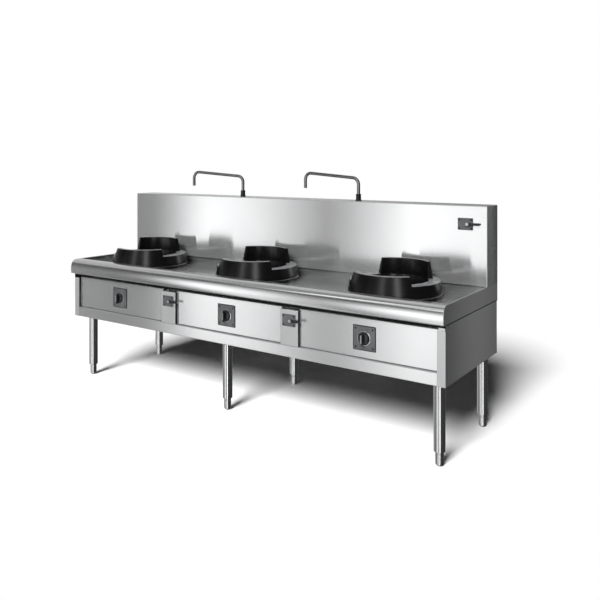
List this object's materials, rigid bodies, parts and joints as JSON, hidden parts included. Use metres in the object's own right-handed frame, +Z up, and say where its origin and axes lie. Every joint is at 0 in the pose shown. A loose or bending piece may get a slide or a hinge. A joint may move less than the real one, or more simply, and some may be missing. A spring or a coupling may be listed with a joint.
{
  "type": "wok range",
  "caption": "Long gas wok range in folded stainless sheet: sunken deck with cast wok rings, tall splashback with swivel spouts, knobs and levers in front, round legs.",
  "frame": {"origin": "on the floor, under the middle of the whole range", "axes": "+X along the range to the cook's right, -Y towards the cook, +Z up"},
  "size_m": [2.4, 0.673, 1.2443],
  "materials": {
    "brushed_sheet": "satin",
    "polished_sheet": "fine satin",
    "leg_tube": "polished",
    "frame_steel": "satin",
    "cast_iron": "matt",
    "burner_iron": "matt",
    "gas_pipe": "satin",
    "water_pipe": "satin",
    "brass": "satin",
    "dial_plate": "dark satin",
    "knob_black": "satin",
    "lever_black": "satin",
    "spout_tube": "dark satin",
    "nut_black": "matt"
  },
  "bodies": {
    "range": {"base_frame": "frame_steel", "leg_front_left": "leg_tube", "leg_front_middle": "leg_tube", "leg_front_right": "leg_tube", "leg_rear_left": "leg_tube", "leg_rear_middle": "leg_tube", "leg_rear_right": "leg_tube", "left_side_panel": "brushed_sheet", "right_side_panel": "brushed_sheet", "back_panel": "brushed_sheet", "bottom_rail": "brushed_sheet", "pilaster_1": "brushed_sheet", "pilaster_2": "brushed_sheet", "front_panel_1": "brushed_sheet", "front_panel_2": "brushed_sheet", "front_panel_3": "brushed_sheet", "deck_tray": "brushed_sheet", "front_rail": "polished_sheet", "left_rim": "polished_sheet", "right_rim": "polished_sheet", "splashback": "polished_sheet", "chamber_1": "cast_iron", "burner_head_1": "burner_iron", "gas_valve_1": "brass", "water_valve_1": "brass", "knob_plate_1": "dial_plate", "valve_plate_1": "dial_plate", "chamber_2": "cast_iron", "burner_head_2": "burner_iron", "gas_valve_2": "brass", "water_valve_2": "brass", "knob_plate_2": "dial_plate", "valve_plate_2": "dial_plate", "chamber_3": "cast_iron", "burner_head_3": "burner_iron", "gas_valve_3": "brass", "water_valve_3": "brass", "knob_plate_3": "dial_plate", "valve_plate_3": "dial_plate", "gas_manifold": "gas_pipe", "water_manifold": "water_pipe", "spout_base_1": "nut_black", "spout_base_2": "nut_black"},
    "gas_knob_1": {"gas_knob_1": "knob_black"},
    "gas_knob_2": {"gas_knob_2": "knob_black"},
    "gas_knob_3": {"gas_knob_3": "knob_black"},
    "valve_lever_1": {"valve_lever_1": "lever_black"},
    "valve_lever_2": {"valve_lever_2": "lever_black"},
    "valve_lever_3": {"valve_lever_3": "lever_black"},
    "spout_1": {"spout_1": "spout_tube"},
    "spout_2": {"spout_2": "spout_tube"},
    "wok_ring_1": {"wok_ring_1": "cast_iron"},
    "wok_ring_2": {"wok_ring_2": "cast_iron"},
    "wok_ring_3": {"wok_ring_3": "cast_iron"},
    "foot_front_left": {"foot_front_left": "leg_tube"},
    "foot_front_middle": {"foot_front_middle": "leg_tube"},
    "foot_front_right": {"foot_front_right": "leg_tube"},
    "foot_rear_left": {"foot_rear_left": "leg_tube"},
    "foot_rear_middle": {"foot_rear_middle": "leg_tube"},
    "foot_rear_right": {"foot_rear_right": "leg_tube"}
  },
  "joints": [
    {"name": "knob_turn_1", "type": "hinge", "parent": "range", "child": "gas_knob_1", "pos_m": [-0.8068, -0.3085, 0.512], "axis": [0, -1, 0], "range_deg": [0, 90]},
    {"name": "knob_turn_2", "type": "hinge", "parent": "range", "child": "gas_knob_2", "pos_m": [0, -0.3085, 0.512], "axis": [0, -1, 0], "range_deg": [0, 90]},
    {"name": "knob_turn_3", "type": "hinge", "parent": "range", "child": "gas_knob_3", "pos_m": [0.8068, -0.3085, 0.512], "axis": [0, -1, 0], "range_deg": [0, 90]},
    {"name": "lever_turn_1", "type": "hinge", "parent": "range", "child": "valve_lever_1", "pos_m": [-0.3914, -0.3085, 0.542], "axis": [0, 1, 0], "range_deg": [0, 90]},
    {"name": "lever_turn_2", "type": "hinge", "parent": "range", "child": "valve_lever_2", "pos_m": [0.4154, -0.3085, 0.542], "axis": [0, 1, 0], "range_deg": [0, 90]},
    {"name": "lever_turn_3", "type": "hinge", "parent": "range", "child": "valve_lever_3", "pos_m": [1.104, 0.1915, 1.001], "axis": [0, 1, 0], "range_deg": [0, 90]},
    {"name": "spout_swing_1", "type": "hinge", "parent": "range", "child": "spout_1", "pos_m": [-0.346, 0.264, 1.15], "axis": [0, 0, 1], "range_deg": [0, 180]},
    {"name": "spout_swing_2", "type": "hinge", "parent": "range", "child": "spout_2", "pos_m": [0.46, 0.264, 1.15], "axis": [0, 0, 1], "range_deg": [0, 180]},
    {"name": "ring_lift_1", "type": "slide", "parent": "range", "child": "wok_ring_1", "axis": [0, 0, 1], "range_m": [0, 0.25]},
    {"name": "ring_lift_2", "type": "slide", "parent": "range", "child": "wok_ring_2", "axis": [0, 0, 1], "range_m": [0, 0.25]},
    {"name": "ring_lift_3", "type": "slide", "parent": "range", "child": "wok_ring_3", "axis": [0, 0, 1], "range_m": [0, 0.25]},
    {"name": "foot_screw_front_left", "type": "slide", "parent": "range", "child": "foot_front_left", "axis": [0, 0, -1], "range_m": [0, 0.03]},
    {"name": "foot_screw_front_middle", "type": "slide", "parent": "range", "child": "foot_front_middle", "axis": [0, 0, -1], "range_m": [0, 0.03]},
    {"name": "foot_screw_front_right", "type": "slide", "parent": "range", "child": "foot_front_right", "axis": [0, 0, -1], "range_m": [0, 0.03]},
    {"name": "foot_screw_rear_left", "type": "slide", "parent": "range", "child": "foot_rear_left", "axis": [0, 0, -1], "range_m": [0, 0.03]},
    {"name": "foot_screw_rear_middle", "type": "slide", "parent": "range", "child": "foot_rear_middle", "axis": [0, 0, -1], "range_m": [0, 0.03]},
    {"name": "foot_screw_rear_right", "type": "slide", "parent": "range", "child": "foot_rear_right", "axis": [0, 0, -1], "range_m": [0, 0.03]}
  ]
}
